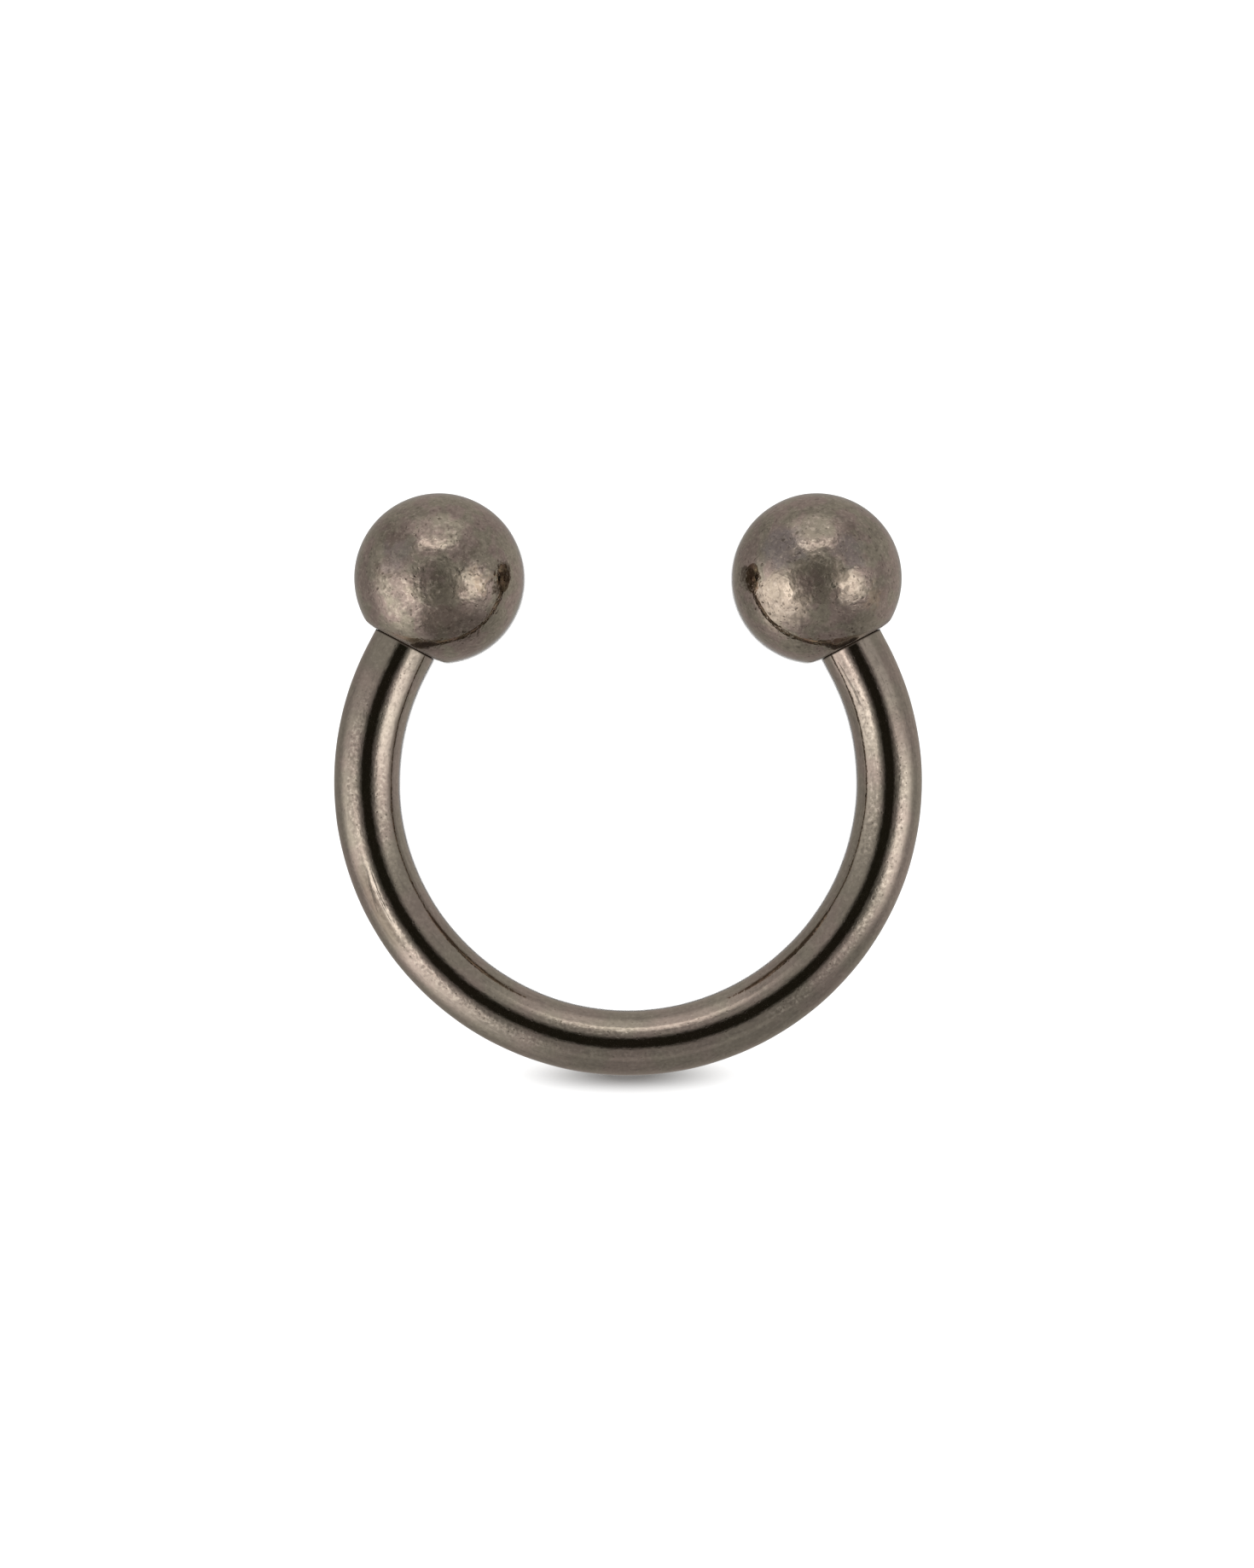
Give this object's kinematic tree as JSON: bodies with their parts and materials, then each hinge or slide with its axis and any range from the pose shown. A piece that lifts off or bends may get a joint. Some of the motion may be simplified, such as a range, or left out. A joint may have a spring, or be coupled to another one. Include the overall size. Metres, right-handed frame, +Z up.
{
  "type": "circular piercing barbell",
  "caption": "Circular barbell for a body piercing: a round wire bent to a horseshoe, closed at each end by a screw-on ball.",
  "frame": {"origin": "on the surface that the barbell rests on, under the middle of its bounding box", "axes": "+Z up, away from that surface; +Y from the bottom of the arc towards the gap between the balls; +X to the right, from the left ball towards the right one"},
  "size_m": [0.0104, 0.0102, 0.003],
  "materials": {
    "bar_metal": "polished bare titanium of a warm grey, with fine grain, scratches and small dents",
    "ball_metal": "duller bare titanium of a warm grey, pitted and lightly tarnished"
  },
  "bodies": {
    "bar": {"curved_bar": "bar_metal"},
    "ball_left": {"ball_left": "ball_metal"},
    "ball_right": {"ball_right": "ball_metal"}
  },
  "joints": [
    {"name": "unscrew_left", "type": "slide", "parent": "bar", "child": "ball_left", "axis": [0.4633, 0.8805, 0.1002], "range_m": [0, 0.0022]},
    {"name": "unscrew_right", "type": "slide", "parent": "bar", "child": "ball_right", "axis": [-0.4633, 0.8805, 0.1002], "range_m": [0, 0.0022]}
  ]
}
